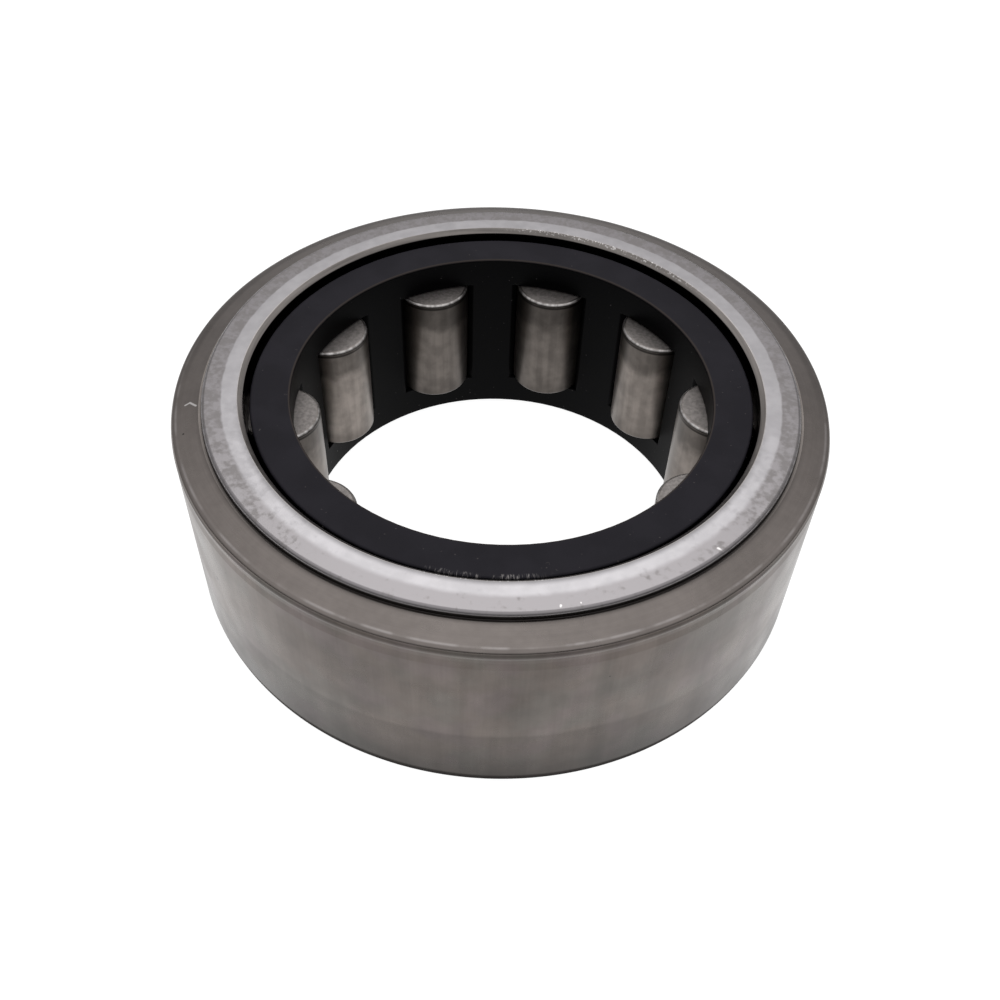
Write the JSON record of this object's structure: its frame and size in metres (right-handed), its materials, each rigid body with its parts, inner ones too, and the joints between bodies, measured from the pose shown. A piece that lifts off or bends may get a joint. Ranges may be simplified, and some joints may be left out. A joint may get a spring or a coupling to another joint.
{
  "type": "cylindrical roller bearing",
  "caption": "Cylindrical roller bearing without inner ring: lipped outer ring with raised land on one face, moulded window cage and loose-turning rollers that run straight on the shaft.",
  "frame": {"origin": "on the bearing axis at the plain end face of the outer ring, which it stands on", "axes": "+Z along the bearing axis towards the face with the raised land; +X and +Y are radial, and the first roller stands 4.2 degrees from +X towards +Y"},
  "size_m": [0.072, 0.072, 0.025],
  "materials": {
    "ring_steel": "satin, ground",
    "roller_steel": "fine ground",
    "cage_polymer": "satin, moulded"
  },
  "bodies": {
    "outer_ring": {"outer_ring": "ring_steel"},
    "cage": {"cage": "cage_polymer"},
    "roller_01": {"roller_01": "roller_steel"},
    "roller_02": {"roller_02": "roller_steel"},
    "roller_03": {"roller_03": "roller_steel"},
    "roller_04": {"roller_04": "roller_steel"},
    "roller_05": {"roller_05": "roller_steel"},
    "roller_06": {"roller_06": "roller_steel"},
    "roller_07": {"roller_07": "roller_steel"},
    "roller_08": {"roller_08": "roller_steel"},
    "roller_09": {"roller_09": "roller_steel"},
    "roller_10": {"roller_10": "roller_steel"}
  },
  "joints": [
    {"name": "cage_spin", "type": "hinge", "parent": "outer_ring", "child": "cage", "pos_m": [0, 0, 0.0125], "axis": [0, 0, 1], "continuous": true},
    {"name": "roller_01_spin", "type": "hinge", "parent": "cage", "child": "roller_01", "pos_m": [0.02483, 0.00182, 0.0125], "axis": [0, 0, 1], "continuous": true},
    {"name": "roller_02_spin", "type": "hinge", "parent": "cage", "child": "roller_02", "pos_m": [0.01902, 0.01607, 0.0125], "axis": [0, 0, 1], "continuous": true},
    {"name": "roller_03_spin", "type": "hinge", "parent": "cage", "child": "roller_03", "pos_m": [0.00594, 0.02418, 0.0125], "axis": [0, 0, 1], "continuous": true},
    {"name": "roller_04_spin", "type": "hinge", "parent": "cage", "child": "roller_04", "pos_m": [-0.00941, 0.02305, 0.0125], "axis": [0, 0, 1], "continuous": true},
    {"name": "roller_05_spin", "type": "hinge", "parent": "cage", "child": "roller_05", "pos_m": [-0.02116, 0.01312, 0.0125], "axis": [0, 0, 1], "continuous": true},
    {"name": "roller_06_spin", "type": "hinge", "parent": "cage", "child": "roller_06", "pos_m": [-0.02483, -0.00182, 0.0125], "axis": [0, 0, 1], "continuous": true},
    {"name": "roller_07_spin", "type": "hinge", "parent": "cage", "child": "roller_07", "pos_m": [-0.01902, -0.01607, 0.0125], "axis": [0, 0, 1], "continuous": true},
    {"name": "roller_08_spin", "type": "hinge", "parent": "cage", "child": "roller_08", "pos_m": [-0.00594, -0.02418, 0.0125], "axis": [0, 0, 1], "continuous": true},
    {"name": "roller_09_spin", "type": "hinge", "parent": "cage", "child": "roller_09", "pos_m": [0.00941, -0.02305, 0.0125], "axis": [0, 0, 1], "continuous": true},
    {"name": "roller_10_spin", "type": "hinge", "parent": "cage", "child": "roller_10", "pos_m": [0.02116, -0.01312, 0.0125], "axis": [0, 0, 1], "continuous": true}
  ],
  "couplings": [
    {"joint": "roller_01_spin", "follows": "cage_spin", "ratio": -6.5556},
    {"joint": "roller_02_spin", "follows": "cage_spin", "ratio": -6.5556},
    {"joint": "roller_03_spin", "follows": "cage_spin", "ratio": -6.5556},
    {"joint": "roller_04_spin", "follows": "cage_spin", "ratio": -6.5556},
    {"joint": "roller_05_spin", "follows": "cage_spin", "ratio": -6.5556},
    {"joint": "roller_06_spin", "follows": "cage_spin", "ratio": -6.5556},
    {"joint": "roller_07_spin", "follows": "cage_spin", "ratio": -6.5556},
    {"joint": "roller_08_spin", "follows": "cage_spin", "ratio": -6.5556},
    {"joint": "roller_09_spin", "follows": "cage_spin", "ratio": -6.5556},
    {"joint": "roller_10_spin", "follows": "cage_spin", "ratio": -6.5556}
  ]
}
